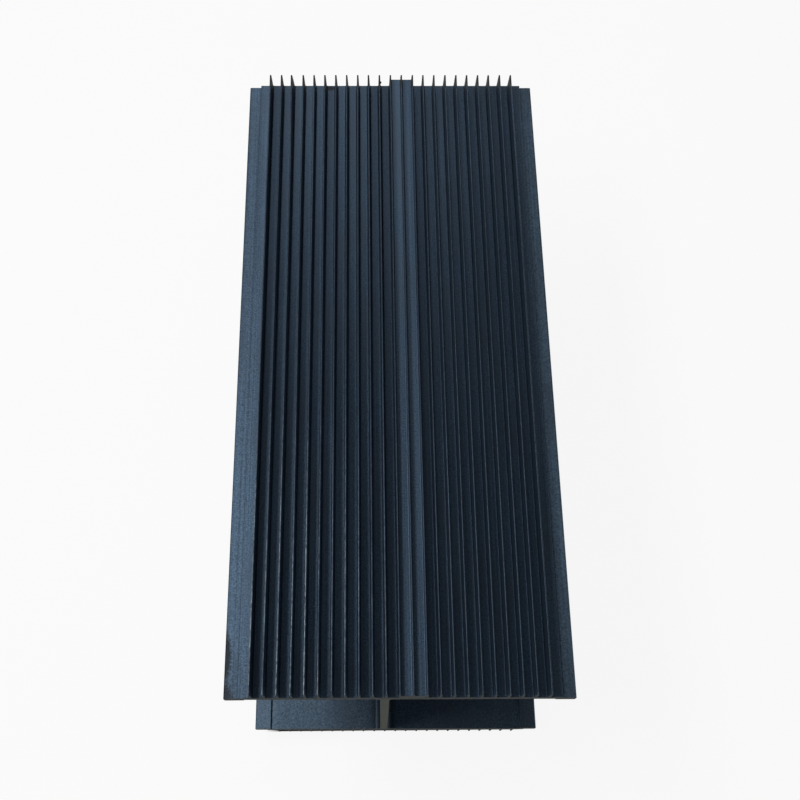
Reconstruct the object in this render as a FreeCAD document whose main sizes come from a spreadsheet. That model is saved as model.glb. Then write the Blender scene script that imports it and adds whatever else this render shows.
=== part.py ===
# Extruded heat sink: one aluminium section, cut to length.
# Two finned plates of the same width lie one above the other, joined by a thin web a little
# left of the middle. The fins point up on the upper plate and down on the lower one.
# Frame: X across, Y along the extrusion, Z up, origin below the middle of the section at mid-length,
# on the surface that the lower fins stand on.
import FreeCAD, Part
import math
import os
import Sketcher

os.makedirs("parts", exist_ok=True)

doc = FreeCAD.newDocument("HeatSink")

# Driving dimensions, in millimetres unless the name is a count or the number of a fin.
# Fins are numbered from the left, starting at 1.
sizes = {
    "extrusionLength": 332.0,    # sawn length
    "finCount": 23,              # fins on each plate
    "finPitch": 6.0,             # from one fin's centre to the next
    "finHeight": 9.2,            # above the plate's outer face
    "finTip": 0.8,               # thickness at the tip
    "finRoot": 1.35,             # thickness at the plate
    "finTipRound": 0.32,         # rounding of the tip's two edges
    "finRootRound": 0.6,         # hollow at the foot of a fin
    "edgeMargin": 12.4,          # outermost fin's centre to the plate's edge
    "plateThickness": 6.0,
    "bayHeight": 132.0,          # clear height between the two plates
    "webThickness": 3.9,
    "webOffset": 6.6,            # web's centre, to the left of the middle
    "webRound": 2.5,             # hollow where the web meets a plate
    "lipWidth": 6.3,             # lowered strip along each edge, outer face
    "lipDrop": 1.8,              # how far that strip lies below the outer face
    "innerLipWidth": 8.7,        # matching raised strip on the inner face
    "innerLipRise": 1.7,
    "lipEdgeRound": 0.7,         # outer edges of the lip
    "stepRound": 0.3,            # edges of the steps beside the lip
    "bossFin": 13,               # the fin in the middle of the raised boss
    "bossPitches": 2,            # the boss reaches over this many fin pitches
    "bossHeight": 5.3,           # above the plate's outer face
    "bossRootRound": 0.35,       # hollow where a fin rises from the boss
}

sheet = doc.addObject("Spreadsheet::Sheet", "Sizes")
for row, (name, value) in enumerate(sizes.items(), start=1):
    sheet.set(f"A{row}", name)
    sheet.set(f"B{row}", str(value))
    sheet.setAlias(f"B{row}", name)
doc.recompute()

tolerance = 1e-4    # for telling whether an edge lies at a given place

# Heights above the middle of the section, which is the mirror plane of the two plates.
innerFace = "Sizes.bayHeight / 2"
outerFace = "Sizes.bayHeight / 2 + Sizes.plateThickness"
middleHeight = "Sizes.finHeight + Sizes.plateThickness + Sizes.bayHeight / 2"
rootLevel = "-Sizes.plateThickness / 2"    # fins and boss reach down to half the plate's thickness
# Distances across, from the middle of the section.
halfRow = "(Sizes.finCount - 1) / 2 * Sizes.finPitch"
halfWidth = f"({halfRow} + Sizes.edgeMargin)"


def finCentre(number):
    """Place of a numbered fin across the section."""
    return f"({number} - (Sizes.finCount + 1) / 2) * Sizes.finPitch"


def sectionSketch(body, name, corners, rounds, across="0", up="0"):
    """Closed section profile in the plane across the extrusion.

    corners holds each corner's two distances, measured from a point that lies at across and up
    from the middle of the section. rounds maps a corner's number to the size that rounds it.
    """
    sketch = body.newObject("Sketcher::SketchObject", name)
    plane = next(item for item in body.Origin.OriginFeatures if item.Role == "XZ_Plane")
    sketch.AttachmentSupport = [(plane, "")]
    sketch.MapMode = "FlatFace"
    sketch.setExpression("AttachmentOffset.Base.x", across)
    sketch.setExpression("AttachmentOffset.Base.y", f"{middleHeight} + {up}")
    count = len(corners)
    # The lines start as a regular polygon, and the distances then pull its corners into place.
    reach = sizes["finPitch"]
    rough = [FreeCAD.Vector(reach * math.cos(2 * math.pi * number / count),
                            reach * math.sin(2 * math.pi * number / count), 0)
             for number in range(count)]
    for number in range(count):
        sketch.addGeometry(Part.LineSegment(rough[number], rough[(number + 1) % count]), False)
    for number in range(count):
        sketch.addConstraint(Sketcher.Constraint("Coincident", number, 2, (number + 1) % count, 1))
    for number, corner in enumerate(corners):
        for kind, distance in zip(("DistanceX", "DistanceY"), corner):
            index = sketch.addConstraint(Sketcher.Constraint(kind, -1, 1, number, 1, reach))
            sketch.renameConstraint(index, f"corner{number}{kind[-1]}")
            sketch.setExpression(f"Constraints.corner{number}{kind[-1]}", distance)
    doc.recompute()
    for number, size in rounds.items():
        arc = sketch.GeometryCount
        sketch.fillet(number, 1, sizes[size], True, True)
        index = sketch.addConstraint(Sketcher.Constraint("Radius", arc, sizes[size]))
        sketch.renameConstraint(index, f"round{number}")
        sketch.setExpression(f"Constraints.round{number}", f"Sizes.{size}")
    doc.recompute()
    return sketch


def extrude(body, sketch, name):
    """Pad a section profile along the extrusion, half to each side of mid-length."""
    pad = body.newObject("PartDesign::Pad", name)
    pad.Profile = sketch
    pad.SideType = "Symmetric"
    pad.setExpression("Length", "Sizes.extrusionLength")
    pad.Refine = True
    doc.recompute()
    return pad


def upperPlate(body):
    """Upper plate with its lips, and the half of the web that hangs from it."""
    left = "-Sizes.webOffset - Sizes.webThickness / 2"
    right = "-Sizes.webOffset + Sizes.webThickness / 2"
    lipTop = f"{outerFace} - Sizes.lipDrop"
    lipUnder = f"{innerFace} - Sizes.innerLipRise"
    corners = [
        (f"-{halfWidth}", lipUnder),
        (f"-{halfWidth}", lipTop),
        (f"-{halfWidth} + Sizes.lipWidth", lipTop),
        (f"-{halfWidth} + Sizes.lipWidth", outerFace),
        (f"{halfWidth} - Sizes.lipWidth", outerFace),
        (f"{halfWidth} - Sizes.lipWidth", lipTop),
        (halfWidth, lipTop),
        (halfWidth, lipUnder),
        (f"{halfWidth} - Sizes.innerLipWidth", lipUnder),
        (f"{halfWidth} - Sizes.innerLipWidth", innerFace),
        (right, innerFace),
        (right, "0"),
        (left, "0"),
        (left, innerFace),
        (f"-{halfWidth} + Sizes.innerLipWidth", innerFace),
        (f"-{halfWidth} + Sizes.innerLipWidth", lipUnder),
    ]
    rounds = {number: "lipEdgeRound" for number in (0, 1, 6, 7)}
    rounds.update({number: "stepRound" for number in (2, 3, 4, 5, 8, 9, 14, 15)})
    rounds.update({number: "webRound" for number in (10, 13)})
    sketch = sectionSketch(body, "PlateSection", corners, rounds)
    return extrude(body, sketch, "UpperPlate"), sketch


def finRow(body):
    """First fin at the left, tapered to a rounded tip, and its row across the plate."""
    foot = "(Sizes.finRoot / 2 + Sizes.finRootRound)"
    corners = [
        (f"-{foot}", rootLevel),
        (f"-{foot}", "0"),
        ("-Sizes.finRoot / 2", "0"),
        ("-Sizes.finTip / 2", "Sizes.finHeight"),
        ("Sizes.finTip / 2", "Sizes.finHeight"),
        ("Sizes.finRoot / 2", "0"),
        (foot, "0"),
        (foot, rootLevel),
    ]
    rounds = {2: "finRootRound", 3: "finTipRound", 4: "finTipRound", 5: "finRootRound"}
    sketch = sectionSketch(body, "FinSection", corners, rounds, finCentre("1"), outerFace)
    fin = extrude(body, sketch, "FirstFin")
    row = body.newObject("PartDesign::LinearPattern", "FinRow")
    row.Originals = [fin]
    row.Direction = (sketch, ["H_Axis"])
    row.Reversed = False
    row.setExpression("Length", "(Sizes.finCount - 1) * Sizes.finPitch")
    row.setExpression("Occurrences", "Sizes.finCount")
    row.Refine = True
    body.Tip = row
    doc.recompute()
    return row


def boss(body):
    """Raised pad that ends inside the fins at its two sides."""
    halfBoss = "(Sizes.bossPitches / 2 * Sizes.finPitch)"
    corners = [
        (f"-{halfBoss}", rootLevel),
        (f"-{halfBoss}", "Sizes.bossHeight"),
        (halfBoss, "Sizes.bossHeight"),
        (halfBoss, rootLevel),
    ]
    sketch = sectionSketch(body, "BossSection", corners, {}, finCentre("Sizes.bossFin"), outerFace)
    pad = extrude(body, sketch, "Boss")
    # The fins rise from the boss along the only lengthwise edges at its height.
    top = (sizes["finHeight"] + sizes["plateThickness"] + sizes["bayHeight"]
           + sizes["plateThickness"] + sizes["bossHeight"])
    roots = [f"Edge{number}" for number, edge in enumerate(pad.Shape.Edges, start=1)
             if all(abs(vertex.Z - top) < tolerance for vertex in edge.Vertexes)
             and abs(edge.Length - sizes["extrusionLength"]) < tolerance]
    hollow = body.newObject("PartDesign::Fillet", "BossRoots")
    hollow.Base = (pad, roots)
    hollow.setExpression("Radius", "Sizes.bossRootRound")
    doc.recompute()
    return hollow


def bothPlates(body, sketch):
    """Mirror the upper half in the middle plane, which completes the web and the lower plate."""
    whole = body.newObject("PartDesign::Mirrored", "BothPlates")
    whole.TransformMode = "Whole shape"
    whole.MirrorPlane = (sketch, ["H_Axis"])
    whole.Refine = True
    body.Tip = whole
    doc.recompute()
    return whole


section = doc.addObject("PartDesign::Body", "HeatSinkExtrusion")
section.Label = "heat_sink_extrusion"
plate, plateSketch = upperPlate(section)
finRow(section)
boss(section)
bothPlates(section, plateSketch)
doc.recompute()

# Nothing is written unless every feature was built and the section is one sound solid.
for item in doc.Objects:
    if "Invalid" in item.State or "Error" in item.State:
        raise RuntimeError(f"{item.Label}: {item.State}")
for body in doc.findObjects("PartDesign::Body"):
    if body.Shape.isNull() or not body.Shape.isValid() or len(body.Shape.Solids) != 1:
        raise RuntimeError(f"{body.Label}: no sound solid")
    box = body.Shape.BoundBox
    print(f"{body.Label}: {box.XLength:.2f} x {box.YLength:.2f} x {box.ZLength:.2f} mm, "
          f"{body.Shape.Volume / 1000:.1f} cm3, {len(body.Shape.Faces)} faces")
    body.Shape.exportStep(f"parts/{body.Label}.step")
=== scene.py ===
import math
import random
import bmesh
import bpy
from mathutils import Matrix, Vector


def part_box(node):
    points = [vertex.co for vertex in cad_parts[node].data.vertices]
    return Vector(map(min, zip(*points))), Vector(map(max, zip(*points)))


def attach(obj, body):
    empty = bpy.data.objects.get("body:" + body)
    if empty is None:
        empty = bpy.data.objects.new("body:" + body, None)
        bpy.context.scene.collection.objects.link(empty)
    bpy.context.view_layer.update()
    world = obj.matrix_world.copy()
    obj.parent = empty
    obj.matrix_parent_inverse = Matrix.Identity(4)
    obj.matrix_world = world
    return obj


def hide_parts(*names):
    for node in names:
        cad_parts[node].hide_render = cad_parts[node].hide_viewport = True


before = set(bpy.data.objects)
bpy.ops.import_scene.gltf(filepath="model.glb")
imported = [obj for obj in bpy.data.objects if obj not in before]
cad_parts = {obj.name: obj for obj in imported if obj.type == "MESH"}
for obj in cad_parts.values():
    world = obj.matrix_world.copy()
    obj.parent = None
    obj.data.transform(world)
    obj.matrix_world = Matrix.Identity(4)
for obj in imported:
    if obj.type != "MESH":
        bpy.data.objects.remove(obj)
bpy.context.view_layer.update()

mm = 0.001
nodeName = "heat_sink_extrusion"
lowCorner, highCorner = (Vector(corner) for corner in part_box(nodeName))
boxSize = highCorner - lowCorner
print("frame loaded, solid", [round(side / mm, 1) for side in boxSize], "mm")


class Signal:  # one node output; sums written with it add Math nodes
    def __init__(self, sheet, socket):
        self.sheet = sheet
        self.socket = socket

    def work(self, operation, *values):
        return self.sheet.node("ShaderNodeMath", {"operation": operation}, dict(enumerate(values)))

    def __add__(self, other):
        return self.work("ADD", self, other)

    def __radd__(self, other):
        return self.work("ADD", other, self)

    def __sub__(self, other):
        return self.work("SUBTRACT", self, other)

    def __rsub__(self, other):
        return self.work("SUBTRACT", other, self)

    def __mul__(self, other):
        return self.work("MULTIPLY", self, other)

    def __rmul__(self, other):
        return self.work("MULTIPLY", other, self)

    def __truediv__(self, other):
        return self.work("DIVIDE", self, other)

    def __rtruediv__(self, other):
        return self.work("DIVIDE", other, self)

    def __mod__(self, other):
        return self.work("MODULO", self, other)

    def __pow__(self, other):
        return self.work("POWER", self, other)

    def __gt__(self, other):
        return self.work("GREATER_THAN", self, other)

    def __lt__(self, other):
        return self.work("LESS_THAN", self, other)

    def __neg__(self):
        return self.work("MULTIPLY", self, -1.0)

    def __abs__(self):
        return self.work("ABSOLUTE", self)

    def floor(self):
        return self.work("FLOOR", self)

    def round(self):
        return self.work("ROUND", self)

    def cosine(self):
        return self.work("COSINE", self)

    def sign(self):
        return self.work("SIGN", self)

    def within(self, low, high, soft="LINEAR"):  # 0 at low, 1 at high, held beyond them
        return self.sheet.node("ShaderNodeMapRange", {"interpolation_type": soft},
                               {"Value": self, "From Min": low, "From Max": high})


class NodeSheet:  # a node tree of any kind
    def __init__(self, tree):
        self.tree = tree

    def node(self, kind, settings=None, values=None, output=0):
        made = self.tree.nodes.new(kind)
        for name, setting in (settings or {}).items():
            if name == "items":
                while len(made.index_switch_items) < setting:
                    made.index_switch_items.new()
            else:
                setattr(made, name, setting)
        for key, value in (values or {}).items():
            for part in value if isinstance(value, list) else [value]:
                if isinstance(part, Signal):
                    self.tree.links.new(part.socket, made.inputs[key])
                else:
                    made.inputs[key].default_value = part
        if isinstance(output, (tuple, list)):
            return tuple(Signal(self, made.outputs[each]) for each in output)
        return Signal(self, made.outputs[output])

    def vector(self, x=0.0, y=0.0, z=0.0):
        return self.node("ShaderNodeCombineXYZ", {}, {"X": x, "Y": y, "Z": z})

    def split(self, vector):
        return self.node("ShaderNodeSeparateXYZ", {}, {"Vector": vector}, ("X", "Y", "Z"))

    def blend(self, mask, first, second, way="MIX"):    # colours
        return self.node("ShaderNodeMix", {"data_type": "RGBA", "blend_type": way},
                         {0: mask, 6: first, 7: second}, output=2)


def newMaterial(name):
    made = bpy.data.materials.new(name)
    made.use_nodes = True
    made.node_tree.nodes.clear()
    return made, NodeSheet(made.node_tree)


def newObject(name, data):
    made = bpy.data.objects.new(name, data)
    bpy.context.scene.collection.objects.link(made)
    return made


# The section. Its width, height and length are the solid's own.
section = {
    "fins": 23,
    "finPitch": 6.0 * mm,
    "finHeight": 9.2 * mm,
    "finTip": 0.8 * mm,
    "finRoot": 1.35 * mm,
    "tipRound": 0.32 * mm,
    "rootRound": 0.6 * mm,
    "plateThickness": 6.0 * mm,
    "webThickness": 3.9 * mm,
    "webOffset": 6.6 * mm,
    "webRound": 2.5 * mm,
    "lipWidth": 6.3 * mm,
    "lipDrop": 1.8 * mm,
    "innerLipWidth": 8.7 * mm,
    "innerLipRise": 1.7 * mm,
    "lipEdgeRound": 0.7 * mm,
    "stepRound": 0.3 * mm,
    "bossFirst": 12,           # the boss lies between these fins
    "bossLast": 14,
    "bossHeight": 5.3 * mm,
    "bossRootRound": 0.35 * mm,
    "width": boxSize.x,
    "height": boxSize.z,
    "length": boxSize.y,
    "stations": 45,            # rings along the length, closer together at the ends
    "seed": 7,                 # for the wandering of the fins
    "sway": 0.3 * mm,          # how far a fin's tip wanders from its straight line
    "swayLength": 300.0 * mm,  # over about this length
    "swayCurve": 1.5,          # a fin curves over, most at its tip
    "bentFin": 3,              # leans over near the far end
    "bend": -0.5 * mm,
    "bendLength": 60.0 * mm,
    "nearCutLean": -0.0043,    # the sawn ends are a little off square
    "farCutLean": -0.0111,
    "cutReach": 30.0 * mm,     # this far from a cut, the section is straight again
    "cutRoughness": 0.07 * mm,
    "cutGrainPerMetre": 420.0,
}
cornersPerFin = 8
middle = Vector((0.0, 0.0, lowCorner.z + boxSize.z / 2))


def extrusionTree(material):
    tree = bpy.data.node_groups.new("finnedSection", "GeometryNodeTree")
    tree.interface.new_socket("Geometry", in_out="OUTPUT", socket_type="NodeSocketGeometry")
    for name, value in section.items():
        kind = "NodeSocketInt" if isinstance(value, int) else "NodeSocketFloat"
        tree.interface.new_socket(name, in_out="INPUT", socket_type=kind)
    sheet = NodeSheet(tree)
    names = list(section)
    size = dict(zip(names, sheet.node("NodeGroupInput", output=names)))

    # Heights are from the middle of the section.
    half = size["width"] / 2
    outer = size["height"] / 2 - size["finHeight"]
    inner = outer - size["plateThickness"]
    lipTop = outer - size["lipDrop"]
    lipUnder = inner - size["innerLipRise"]
    index = sheet.node("GeometryNodeInputIndex")

    # One side of the plate, from the web round the lip to the outer face.
    def plateSide(side):
        web = side * size["webThickness"] / 2 - size["webOffset"]
        corners = [
            (web, inner, size["webRound"]),
            (side * (half - size["innerLipWidth"]), inner, size["stepRound"]),
            (side * (half - size["innerLipWidth"]), lipUnder, size["stepRound"]),
            (side * half, lipUnder, size["lipEdgeRound"]),
            (side * half, lipTop, size["lipEdgeRound"]),
            (side * (half - size["lipWidth"]), lipTop, size["stepRound"]),
            (side * (half - size["lipWidth"]), outer, size["stepRound"]),
        ]
        return corners if side < 0 else corners[::-1]

    def sidePoints(side, firstPlace):
        corners = plateSide(side)
        choices = {number: sheet.vector(*corner) for number, corner in enumerate(corners, start=1)}
        pick = sheet.node("GeometryNodeIndexSwitch",
                          {"data_type": "VECTOR", "items": len(corners)},
                          {"Index": index, **choices})
        x, y, rounding = sheet.split(pick)
        return markedPoints(len(corners), x, y, rounding, firstPlace + index)

    def store(geometry, name, value):
        return sheet.node("GeometryNodeStoreNamedAttribute",
                          {"data_type": "FLOAT", "domain": "POINT"},
                          {"Geometry": geometry, "Name": name, "Value": value})

    def stored(name):
        return sheet.node("GeometryNodeInputNamedAttribute", {"data_type": "FLOAT"}, {"Name": name})

    def markedPoints(count, x, y, rounding, place):
        points = sheet.node("GeometryNodePoints", {},
                            {"Count": count, "Position": sheet.vector(x, y)})
        return store(store(points, "rounding", rounding), "place", place)

    # A fin's corners go up its left side in three steps, over the tip and down again.
    number = (index / cornersPerFin).floor() + 1
    corner = index % cornersPerFin
    rightSide = corner > cornersPerFin / 2 - 0.5
    step = corner + rightSide * (cornersPerFin - 1 - 2 * corner)
    onBoss = ((number > size["bossFirst"] - 0.5 + (1 - rightSide))
              * (number < size["bossLast"] + 0.5 - rightSide))
    foot = onBoss * size["bossHeight"]
    up = foot + (size["finHeight"] - foot) * step / 3
    lean = (size["finRoot"] - size["finTip"]) * up / size["finHeight"]
    across = ((number - (size["fins"] + 1) / 2) * size["finPitch"]
              + (2 * rightSide - 1) * (size["finRoot"] - lean) / 2)
    rootRound = size["rootRound"] + onBoss * (size["bossRootRound"] - size["rootRound"])
    rounding = (step < 0.5) * rootRound + (step > 2.5) * size["tipRound"]
    sideCount = len(plateSide(1))
    finPoints = markedPoints(size["fins"] * cornersPerFin, across, outer + up, rounding,
                             sideCount + index)
    upper = sheet.node("GeometryNodeJoinGeometry", {}, {"Geometry": [
        sidePoints(-1, 0), finPoints, sidePoints(1, sideCount + size["fins"] * cornersPerFin)]})

    # The lower half is the upper one upside down, walked the other way.
    place = stored("place")
    lastPlace = 1000000    # any number above the highest place
    lower = sheet.node("GeometryNodeTransform", {}, {"Geometry": upper, "Scale": (1.0, -1.0, 1.0)})
    lower = store(lower, "place", lastPlace - place)
    loop = sheet.node("GeometryNodeJoinGeometry", {}, {"Geometry": [upper, lower]})
    loop = sheet.node("GeometryNodePointsToCurves", {}, {"Points": loop, "Weight": place})
    loop = sheet.node("GeometryNodeSetSplineCyclic", {}, {"Geometry": loop, "Cyclic": True})
    rounding = stored("rounding")
    steps = (rounding > 0.0) * (3 + 3 * (rounding > 2.0 * mm))    # more for the web's hollows
    loop = sheet.node("GeometryNodeFilletCurve", {"mode": "POLY"}, {
        "Curve": loop, "Radius": rounding, "Limit Radius": False, "Count": steps})

    # Rings along the length.
    line = sheet.node("GeometryNodeCurvePrimitiveLine", {},
                      {"Start": (0.0, 0.0, 0.0), "End": (0.0, 0.0, 1.0)})
    line = sheet.node("GeometryNodeResampleCurve", {"mode": "COUNT"},
                      {"Curve": line, "Count": size["stations"]})
    turn = (index / (size["stations"] - 1) * math.pi).cosine()
    line = sheet.node("GeometryNodeSetPosition", {}, {
        "Geometry": line, "Position": sheet.vector(0.0, 0.0, -turn * size["length"] / 2)})
    solid = sheet.node("GeometryNodeCurveToMesh", {},
                       {"Curve": line, "Profile Curve": loop, "Fill Caps": True})
    solid = sheet.node("GeometryNodeTransform", {},
                       {"Geometry": solid, "Rotation": (math.pi / 2, 0.0, 0.0)})
    solid = sheet.node("GeometryNodeMergeByDistance", {},
                       {"Geometry": solid, "Distance": 0.001 * mm})
    solid = sheet.node("GeometryNodeFlipFaces", {}, {"Mesh": solid})

    # Fins wander a little, one is bent near the far end, and the ends are rough and off square.
    x, y, z = sheet.split(sheet.node("GeometryNodeInputPosition"))
    solid = store(solid, "fromCut", size["length"] / 2 - abs(y))
    lift = (abs(z) - outer).within(0.0, size["finHeight"]) ** size["swayCurve"]
    finHere = (x / size["finPitch"]).round() + (size["fins"] + 1) / 2
    finShift, sideShift = 3.7, 9.1    # each fin wanders in its own way, above and below
    drift = sheet.node("ShaderNodeTexNoise", {"noise_dimensions": "3D"}, {
        "Vector": sheet.vector(finHere * finShift + size["seed"], y / size["swayLength"],
                               z.sign() * sideShift),
        "Scale": 1.0, "Detail": 1.0})
    isBent = (abs(finHere - size["bentFin"]) < 0.5) * (z > 0.0)
    cut = size["length"] / 2
    toFarEnd = y.within(cut - size["bendLength"], cut, "SMOOTHSTEP")
    sideways = lift * ((drift - 0.5) * 2 * size["sway"] + isBent * toFarEnd * size["bend"])
    farEnd = y > 0.0
    cutLean = size["nearCutLean"] + farEnd * (size["farCutLean"] - size["nearCutLean"])
    toCut = abs(y).within(cut - size["cutReach"], cut, "SMOOTHSTEP")
    atCut = abs(y) > cut - 0.01 * mm
    rough = sheet.node("ShaderNodeTexNoise", {"noise_dimensions": "3D"}, {
        "Vector": sheet.vector(x, y, z), "Scale": size["cutGrainPerMetre"], "Detail": 3.0})
    lengthways = toCut * cutLean * x + atCut * (rough - 0.5) * 2 * size["cutRoughness"]
    solid = sheet.node("GeometryNodeSetPosition", {},
                       {"Geometry": solid, "Offset": sheet.vector(sideways, lengthways)})
    solid = sheet.node("GeometryNodeTransform", {},
                       {"Geometry": solid, "Translation": tuple(middle)})
    solid = sheet.node("GeometryNodeRealizeInstances", {}, {"Geometry": solid})
    solid = sheet.node("GeometryNodeSetMaterial", {}, {"Geometry": solid, "Material": material})
    sheet.node("NodeGroupOutput", output=[], values={"Geometry": solid})
    return tree


def plainMesh(source, name):
    bpy.context.view_layer.update()
    graph = bpy.context.evaluated_depsgraph_get()
    mesh = bpy.data.meshes.new_from_object(source.evaluated_get(graph), depsgraph=graph)
    bpy.data.objects.remove(source)
    return newObject(name, mesh)


# Only the rounds are shaded smooth.
shading = {
    "sharpFrom": 35.0,         # degrees between two faces
    "widestRound": 0.7 * mm,   # faces wider than this are flat
}


def makeExtrusion(material):
    tree = extrusionTree(material)
    source = newObject("extrusionSource", bpy.data.meshes.new("extrusionSource"))
    modifier = source.modifiers.new("finnedSection", "NODES")
    modifier.node_group = tree
    for socket in tree.interface.items_tree:
        if socket.in_out == "INPUT":
            modifier[socket.identifier] = section[socket.name]
    piece = plainMesh(source, "finnedExtrusion")
    mesh = piece.data
    mesh.shade_smooth()
    mesh.set_sharp_from_angle(angle=math.radians(shading["sharpFrom"]))
    for polygon in mesh.polygons:
        corners = [mesh.vertices[number].co.xz for number in polygon.vertices]
        reach = max((corner - corners[number - 1]).length for number, corner in enumerate(corners))
        polygon.use_smooth = reach < shading["widestRound"]
    return piece


# Small burrs that the saw left on the fins. Each stands at a fin's side, a height up it, at an end.
burrs = {
    "seed": 11,
    "places": [                # fin, side (-1 left, 1 right), height, end (-1 near, 1 far), size
        (11, 1, 3.5 * mm, 1, 0.62 * mm),
        (11, 1, 2.6 * mm, 1, 0.42 * mm),
        (7, -1, 1.9 * mm, 1, 0.3 * mm),
        (13, -1, 7.4 * mm, 1, 0.24 * mm),
        (18, 1, 1.6 * mm, 1, 0.26 * mm),
        (3, 1, 5.2 * mm, -1, 0.28 * mm),
        (9, -1, 3.3 * mm, -1, 0.25 * mm),
        (16, 1, 4.4 * mm, -1, 0.3 * mm),
        (21, -1, 6.1 * mm, -1, 0.24 * mm),
    ],
    "flatness": 0.6,           # a flake's thickness along the extrusion, of its size
    "jag": 0.35,               # how ragged it is
}


def makeBurrs(material):
    dice = random.Random(burrs["seed"])
    form = bmesh.new()
    outer = highCorner.z - section["finHeight"]
    for fin, side, height, end, size in burrs["places"]:
        made = bmesh.ops.create_icosphere(form, subdivisions=2, radius=size)
        half = (section["finRoot"] - (section["finRoot"] - section["finTip"])
                * height / section["finHeight"]) / 2
        lean = section["farCutLean"] if end > 0 else section["nearCutLean"]
        x = (fin - (section["fins"] + 1) / 2) * section["finPitch"] + side * half
        y = end * (section["length"] / 2 - size * burrs["flatness"]) + lean * x
        for corner in made["verts"]:
            corner.co *= 1 + burrs["jag"] * (dice.random() - 0.5)
            corner.co.y *= burrs["flatness"]
            corner.co += Vector((x, y, outer + height))
    mesh = bpy.data.meshes.new("sawBurrs")
    form.to_mesh(mesh)
    form.free()
    mesh.materials.append(material)
    mesh.shade_smooth()
    return newObject("sawBurrs", mesh)


finish = {
    "anodised": (0.044, 0.076, 0.121, 1.0),      # blue-black film
    "anodisedPale": (0.056, 0.091, 0.137, 1.0),  # where the film is thinner
    "anodisedGrey": (0.050, 0.070, 0.098, 1.0),  # faint clouds in the dye
    "wornTipAndHighlight": (0.20, 0.25, 0.29, 1.0),          # fin tips, rubbed, with a painted highlight
    "sawnMetal": (0.19, 0.20, 0.17, 1.0),        # dull bare metal of the cut ends
    "sawnShade": (0.13, 0.14, 0.12, 1.0),
    "plateCut": (0.085, 0.098, 0.110, 1.0),      # the plates' sawn edges, film smeared over them
    "arris": (0.024, 0.029, 0.032, 1.0),         # rubbed edge of the film round a cut
    "sawStain": (0.030, 0.027, 0.018, 1.0),      # fin ends at the far cut
    "fingerWear": (0.014, 0.017, 0.021, 1.0),
    "dust": (0.62, 0.63, 0.62, 1.0),
    # these multiply the film's colour
    "grainDark": (0.60, 0.61, 0.63, 1.0),
    "grainPale": (1.42, 1.41, 1.38, 1.0),
    "leftEdgePaintedLight": (1.14, 1.13, 1.12, 1.0),     # painted light on the plates left of the fins
    # painted light on the right lip
    "rightLipPaintedLight": (1.36, 1.30, 1.22, 1.0),
    "bayPaintedLight": (1.20, 1.13, 1.06, 1.0),          # painted light on the faces inside the bays
    "bayCornerPaintedShade": (0.48, 0.47, 0.46, 1.0),        # painted shade where the web meets them
    "dullFilm": (0.62, 0.63, 0.66, 1.0),         # some of the channels
    "tipPaintedShade": (0.50, 0.51, 0.53, 1.0),          # painted shade on the fin tips
    "dullChannels": {           # channel from the left, how dull at the near and the far end
        1: (0.4, 0.75),
        6: (0.0, 0.6),
        10: (0.0, 0.85),
        11: (0.5, 1.0),
        14: (0.5, 0.6),
    },
    "filmMetallic": 0.6,
    "specular": 0.25,
    "roughness": 0.40,
    "sawnRoughness": 1.0,
    "grainPerMetre": 1350.0,
    "dieLinesPerMetre": 1150.0,
    "dieLineStretch": 5.0,      # cells per metre along the extrusion
    "bandsPerMetre": 210.0,
    "cloudsPerMetre": 38.0,
    "greyCloudsPerMetre": 90.0,
    "bayStreaks": 0.15,         # share of the streaks that the faces inside the bays have
    "patchesPerMetre": 120.0,   # where the tips are rubbed, and the outline of the marks
    "beadsPerMetre": 900.0,
    "rubbedHeight": 0.55 * mm,  # from a fin's tip down
    "cornerShadeReach": 2.7 * mm,    # of the painted shade in the corners, up the web
    "stainReach": (9.0 * mm, 5.0 * mm),          # from the far cut: none, full
    "arrisWidth": 0.45 * mm,
    "arrisPatchesPerMetre": 700.0,
    "sawLinesPerMetre": 1700.0,
    "dustPerMetre": 55.0,
    "dustSize": 0.25 * mm,
    "dustChosen": 0.82,         # only places that draw more than this get a speck
    "bumpHeight": 0.012 * mm,
    "bumpStrength": 0.6,
}
# Marks on the metal: place and reach in x, y and z in millimetres, colour, and how strong it is.
marks = {
    "spotBetweenFins": ((-33.0, 164.6, 153.2), (2.6, 1.9, 1.5), "fingerWear", 0.9),
    "wornEdge": ((-79.2, -147.0, 151.0), (4.0, 13.0, 6.0), "fingerWear", 0.9),
    "wornCorner": ((-79.4, -167.0, 150.5), (5.4, 10.0, 6.0), "fingerWear", 0.85),
    "dullCorner": ((-76.0, -168.0, 151.0), (9.0, 30.0, 6.0), "fingerWear", 0.22),
    "whiteSpeck": ((24.8, 48.1, 162.4), (0.45, 0.6, 0.8), "dust", 1.0),
}


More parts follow.
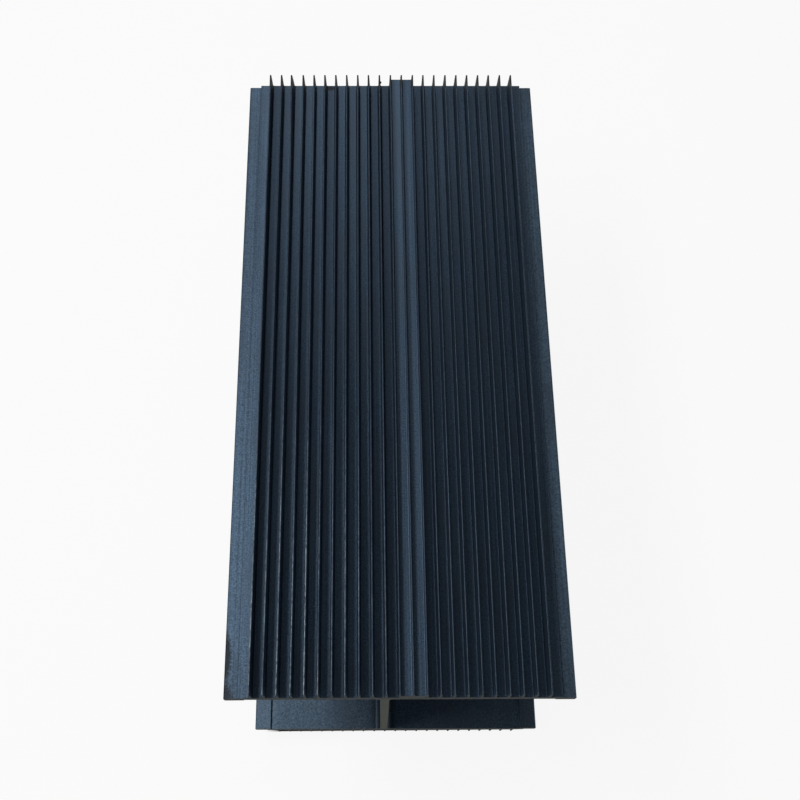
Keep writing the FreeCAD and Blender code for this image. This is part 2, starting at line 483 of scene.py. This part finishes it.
def anodisedFilm(sheet):
    place = sheet.node("ShaderNodeTexCoord", output="Object")
    x, y, z = sheet.split(place)
    fromCut = sheet.node("ShaderNodeAttribute", {"attribute_name": "fromCut"}, output="Fac")

    # shift keeps one pattern apart from the others
    def noise(perMetre, detail=2.0, roughness=0.5, stretch=(1.0, 1.0, 1.0), shift=0.0):
        scaled = sheet.vector(*(axis * (perMetre * along) + shift
                                for axis, along in zip((x, y, z), stretch)))
        return sheet.node("ShaderNodeTexNoise", {}, {
            "Vector": scaled, "Scale": 1.0, "Detail": detail, "Roughness": roughness})

    def tinted(colour, mask, tone):
        return sheet.blend(mask, colour, tone, "MULTIPLY")

    height = abs(z - middle.z)    # above or below the middle of the section
    tipHeight = boxSize.z / 2
    outerFace = tipHeight - section["finHeight"]
    innerFace = outerFace - section["plateThickness"]
    middleFin = (section["fins"] + 1) / 2
    leftOfFins = (1 - middleFin) * section["finPitch"] - 0.8 * mm
    rightLip = boxSize.x / 2 - section["lipWidth"]
    fin = (x / section["finPitch"]).round()    # counted from the middle one
    channel = (x / section["finPitch"]).floor() + middleFin

    lines = noise(finish["dieLinesPerMetre"], 3.0, 0.6,
                  (1.0, finish["dieLineStretch"] / finish["dieLinesPerMetre"], 1.0))
    bands = noise(finish["bandsPerMetre"], stretch=(1.0, 0.012, 1.0), shift=3.1)
    clouds = noise(finish["cloudsPerMetre"], 3.0, 0.55, (1.0, 0.35, 1.0), shift=8.4)
    grain = noise(finish["grainPerMetre"], 1.0)

    # The film is paler or darker in bands from one channel to the next, in long streaks and in
    # its grain. The smooth faces inside the bays have almost no streaks.
    outside = (height.within(innerFace + 1.0 * mm, innerFace + 3.0 * mm)
               * (1 - finish["bayStreaks"]) + finish["bayStreaks"])
    streaks = lines * outside + 0.5 * (1 - outside)
    thin = (bands * 0.4 * outside + clouds * 0.35 + 0.2 * (1 - outside)
            + streaks * 0.6).within(0.5, 0.85)
    colour = sheet.blend(thin, finish["anodised"], finish["anodisedPale"])
    speckle = sheet.blend((grain * 0.65 + streaks * 0.35).within(0.35, 0.65),
                          finish["grainDark"], finish["grainPale"])
    colour = tinted(colour, 1.0, speckle)
    # Painted light: the plates left of the fins and the right lip are lighter.
    colour = tinted(colour, x < leftOfFins, finish["leftEdgePaintedLight"])
    colour = tinted(colour, x > rightLip, finish["rightLipPaintedLight"])
    # Painted light: the faces inside the bays are lighter.
    colour = tinted(colour, height < innerFace + 0.1 * mm, finish["bayPaintedLight"])
    # Painted shade in the corners where the web meets the plates.
    corner = (abs(x + section["webOffset"]).within(7.5 * mm, 4.5 * mm)
              * (abs(height - innerFace) < finish["cornerShadeReach"]))
    colour = tinted(colour, corner, finish["bayCornerPaintedShade"])
    toFarEnd = y.within(-40.0 * mm, 140.0 * mm)
    for number, (near, far) in finish["dullChannels"].items():
        inChannel = (abs(channel - number) < 0.5) * (height > outerFace - 0.1 * mm)
        dull = inChannel * (toFarEnd * (far - near) + near)
        colour = tinted(colour, dull, finish["dullFilm"])
    grey = noise(finish["greyCloudsPerMetre"], stretch=(1.0, 0.25, 1.0), shift=14.2)
    colour = sheet.blend(grey.within(0.45, 0.7) * 0.5, colour, finish["anodisedGrey"])

    # Fin tips get painted shade that dims their highlight, less so towards the far end. Some are
    # rubbed pale, partly wear and partly a painted highlight, most of all at the near left.
    chance = sheet.node("ShaderNodeTexWhiteNoise", {"noise_dimensions": "2D"},
                        {"Vector": sheet.vector(fin + 0.3, z > middle.z)}, output="Value")
    patches = noise(finish["patchesPerMetre"], 3.0, 0.6, (2.0, 0.3, 2.0), shift=5.7)
    beads = noise(finish["beadsPerMetre"], 2.0, 0.6, (1.0, 0.55, 1.0), shift=21.3)
    nearLeftHighlight = y.within(-30.0 * mm, -120.0 * mm) * x.within(0.0, -35.0 * mm)
    # Painted shade on the tips, dimming their highlight.
    tipShaded = (height.within(tipHeight - 0.6 * mm, tipHeight - 0.25 * mm)
              * (y.within(170.0 * mm, 40.0 * mm) * 0.7 + 0.3))
    # Rubbed wear with a painted highlight on the tips, strongest at the near left.
    rubbedAndHighlit = (height.within(tipHeight - finish["rubbedHeight"], tipHeight - 0.05 * mm)
              * (patches + chance * 0.3).within(0.4, 0.85)
              * (nearLeftHighlight * 0.9 + 0.1) * (beads.within(0.35, 0.62) * 0.85 + 0.15))
    colour = tinted(colour, tipShaded, finish["tipPaintedShade"])
    colour = sheet.blend(rubbedAndHighlit, colour, finish["wornTipAndHighlight"])

    for centre, reach, tone, strength in marks.values():
        offsets = [(axis - along * mm) / (size * mm)
                   for axis, along, size in zip((x, y, z), centre, reach)]
        distance = offsets[0] ** 2.0 + offsets[1] ** 2.0 + offsets[2] ** 2.0
        ragged = distance + (patches - 0.5) * 1.2 + (grain - 0.5) * 0.8
        colour = sheet.blend(ragged.within(1.1, 0.5) * strength, colour, finish[tone])

    # The fins are stained next to the far cut.
    fromFin = abs(x - fin * section["finPitch"])
    noStain, fullStain = finish["stainReach"]
    stain = (fromCut.within(noStain, fullStain) * (y > 0.0) * (fromFin < 0.75 * mm)
             * height.within(outerFace + 0.6 * mm, outerFace + 1.6 * mm))
    colour = sheet.blend(stain * 0.85, colour, finish["sawStain"])

    # Bare sawn ends, and the rubbed arris round them.
    sawn = fromCut < 0.02 * mm
    arris = (fromCut.within(finish["arrisWidth"], 0.05 * mm)
             * noise(finish["arrisPatchesPerMetre"]).within(0.35, 0.65))
    sawLines = noise(finish["sawLinesPerMetre"], 2.0, 0.6, (0.03, 0.03, 1.0))
    bare = sheet.blend(sawLines.within(0.3, 0.7), finish["sawnShade"], finish["sawnMetal"])
    bare = sheet.blend((height > innerFace) * 0.7, bare, finish["plateCut"])
    colour = sheet.blend(sawn, sheet.blend(arris * 0.6, colour, finish["arris"]), bare)

    toSpeck, speckColour = sheet.node(
        "ShaderNodeTexVoronoi", {}, {"Vector": place, "Scale": finish["dustPerMetre"]},
        output=("Distance", "Color"))
    pick = sheet.split(speckColour)[0]
    dust = ((toSpeck < finish["dustSize"] * finish["dustPerMetre"] * pick)
            * (pick > finish["dustChosen"]) * (1 - sawn))
    colour = sheet.blend(dust * 0.5, colour, finish["dust"])

    metallic = ((finish["filmMetallic"] + rubbedAndHighlit * 0.1)
                * (1 - dust) * (1 - sawn) * (1 - stain * 0.7))
    roughness = (finish["roughness"] + (grain - 0.5) * 0.10 + (lines - 0.5) * 0.12 + stain * 0.3
                 + sawn * (finish["sawnRoughness"] - finish["roughness"]) + dust * 0.4)
    relief = lines * 0.5 + grain * 0.35 + sawn * sawLines * 3.0
    bump = sheet.node("ShaderNodeBump", {}, {
        "Strength": finish["bumpStrength"], "Distance": finish["bumpHeight"], "Height": relief},
        output="Normal")
    surface = sheet.node("ShaderNodeBsdfPrincipled", {}, {
        "Base Color": colour, "Metallic": metallic, "Roughness": roughness, "Normal": bump,
        "Specular IOR Level": finish["specular"]}, output="BSDF")
    sheet.node("ShaderNodeOutputMaterial", values={"Surface": surface}, output=[])


material, filmSheet = newMaterial("anodisedAluminium")
anodisedFilm(filmSheet)
extrusion = makeExtrusion(material)
triangles = sum(len(polygon.vertices) - 2 for polygon in extrusion.data.polygons)
print("extrusion made,", triangles, "triangles")
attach(extrusion, "root")
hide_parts(nodeName)
sawBurrs = makeBurrs(material)
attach(sawBurrs, "root")
print("burrs made,", len(burrs["places"]))

studio = {
    "camera": (-9.842 * mm, -225.376 * mm, 642.494 * mm),
    "cameraTilt": 22.391,       # degrees from looking straight down
    "cameraTurn": 0.029,
    "cameraRoll": -0.504,
    "sensor": 36.0,             # mm, as the lens
    "lens": 48.43,
    "shift": 0.03125,           # the photo is cropped off centre
    "floorReach": 12.5,         # metres
    "floorGap": 0.05 * mm,      # below the object
    "floorColour": (0.45, 0.45, 0.45, 1.0),     # as other surfaces are lit by it
    "floorSeen": (0.92, 0.92, 0.92, 1.0),       # as the camera and shiny surfaces see it
    "floorWhite": 0.9,          # share of plain white that they see besides
    "floorPaintedShadow": (0.07, 0.065, 0.06, 1.0),     # painted shadow where the object stands on it
    "shadeReach": (74.0 * mm, 165.75 * mm),     # the painted shadow there has none of the white
    "shadeEdge": (8.0 * mm, 0.3 * mm),          # and fades over this
    "ambient": 0.155,
    "backdropReach": 12.0,      # metres from the object
    "backdropHeight": 2.3,
    "backdropSides": 32,
    "backdropSeen": 0.95,
    "white": (1.0, 1.0, 1.0, 1.0),
}
# Soft lights: direction from the object's top, distance, width across, length, power in watts.
# The low ones stay below the upper plate. They light the sawn ends and the sides that face away
# from the windows.
lights = {
    "keyWindow": ((-0.55, 0.05, 1.0), 1.0, 0.25, 0.75, 6.1),
    "farWindow": ((-0.10, 1.07, 1.0), 1.2, 0.24, 0.6, 1.5),
    "lowRight": ((1.0, 0.0, -0.12), 1.0, 0.07, 1.6, 1.3),
    "lowNear": ((0.0, -1.0, -0.12), 1.1, 1.6, 0.07, 0.6),
    "lowFar": ((0.0, 1.0, -0.12), 1.1, 1.6, 0.07, 1.5),
}
floorLevel = lowCorner.z - studio["floorGap"]


def stagePiece(name, corners, faces, material):
    mesh = bpy.data.meshes.new(name)
    mesh.from_pydata(corners, [], faces)
    mesh.materials.append(material)
    return newObject(name, mesh)


def seenRays(sheet):    # 1 for the camera's rays and for those that shiny and clear surfaces send
    camera, glossy, transmission = sheet.node("ShaderNodeLightPath", output=(
        "Is Camera Ray", "Is Glossy Ray", "Is Transmission Ray"))
    return (camera + glossy + transmission).within(0.0, 1.0)


def glow(sheet, strength):
    return sheet.node("ShaderNodeEmission", {}, {"Color": studio["white"], "Strength": strength},
                      output="Emission")


def finishStage(sheet, mask, first, second):
    mixed = sheet.node("ShaderNodeMixShader", {}, {0: mask, 1: first, 2: second}, output="Shader")
    sheet.node("ShaderNodeOutputMaterial", values={"Surface": mixed}, output=[])


def floorPiece():
    pale, sheet = newMaterial("paleFloor")
    seen = seenRays(sheet)
    x, y = sheet.split(sheet.node("ShaderNodeTexCoord", output="Object"))[:2]
    (reachX, reachY), (edgeX, edgeY) = studio["shadeReach"], studio["shadeEdge"]
    # A painted shadow under the object: dark, and without the white.
    paintedShadow = abs(x).within(reachX, reachX - edgeX) * abs(y).within(reachY, reachY - edgeY)
    tone = sheet.blend(seen, studio["floorColour"], studio["floorSeen"])
    tone = sheet.blend(paintedShadow, tone, studio["floorPaintedShadow"])
    matt = sheet.node("ShaderNodeBsdfDiffuse", {}, {"Color": tone}, output="BSDF")
    finishStage(sheet, seen * (1 - paintedShadow) * studio["floorWhite"], matt, glow(sheet, 1.0))
    reach = studio["floorReach"]
    corners = [(side * reach, end * reach, floorLevel)
               for side, end in ((-1, -1), (1, -1), (1, 1), (-1, 1))]
    return stagePiece("floor", corners, [(0, 1, 2, 3)], pale)


def backdropPiece():
    pale, sheet = newMaterial("paleBackdrop")
    # other rays get no more from it than from the room behind it
    finishStage(sheet, seenRays(sheet), glow(sheet, studio["ambient"]),
                glow(sheet, studio["backdropSeen"]))
    reach, count = studio["backdropReach"], studio["backdropSides"]
    turns = [2 * math.pi * number / count for number in range(count)]
    corners = [(reach * math.cos(turn), reach * math.sin(turn), floorLevel + rise)
               for rise in (0.0, studio["backdropHeight"]) for turn in turns]
    faces = [(number, (number + 1) % count, count + (number + 1) % count, count + number)
             for number in range(count)]
    return stagePiece("backdrop", corners, faces, pale)


def softLights():
    target = Vector((0.0, 0.0, highCorner.z))
    for name, (direction, distance, width, length, power) in lights.items():
        lamp = bpy.data.lights.new(name, "AREA")
        lamp.shape = "RECTANGLE"
        lamp.size, lamp.size_y = width, length
        lamp.energy = power
        source = newObject(name, lamp)
        away = Vector(direction).normalized()
        source.location = target + away * distance
        # the lamp's length follows the extrusion as far as its direction lets it
        long = (Vector((0.0, 1.0, 0.0)) - away * away.y).normalized()
        turned = Matrix((long.cross(away), long, away)).transposed()
        source.rotation_euler = turned.to_euler()
        source.visible_camera = False
    world = bpy.data.worlds.new("room")
    world.use_nodes = True
    background = world.node_tree.nodes["Background"].inputs
    background["Color"].default_value = studio["white"]
    background["Strength"].default_value = studio["ambient"]
    bpy.context.scene.world = world


def photoCamera():
    lens = bpy.data.cameras.new("photoCamera")
    lens.sensor_width = studio["sensor"]
    lens.lens = studio["lens"]
    lens.shift_x = studio["shift"]
    lens.clip_start, lens.clip_end = 0.01, 100.0
    camera = newObject("photoCamera", lens)
    turn, tilt, roll = (math.radians(studio[name])
                        for name in ("cameraTurn", "cameraTilt", "cameraRoll"))
    camera.matrix_world = (Matrix.Translation(studio["camera"]) @ Matrix.Rotation(turn, 4, "Z")
                           @ Matrix.Rotation(tilt, 4, "X") @ Matrix.Rotation(roll, 4, "Z"))
    bpy.context.scene.camera = camera


floorPiece()
backdropPiece()
softLights()
photoCamera()
bpy.context.scene.view_settings.view_transform = "Standard"
print("floor, lights and camera placed")
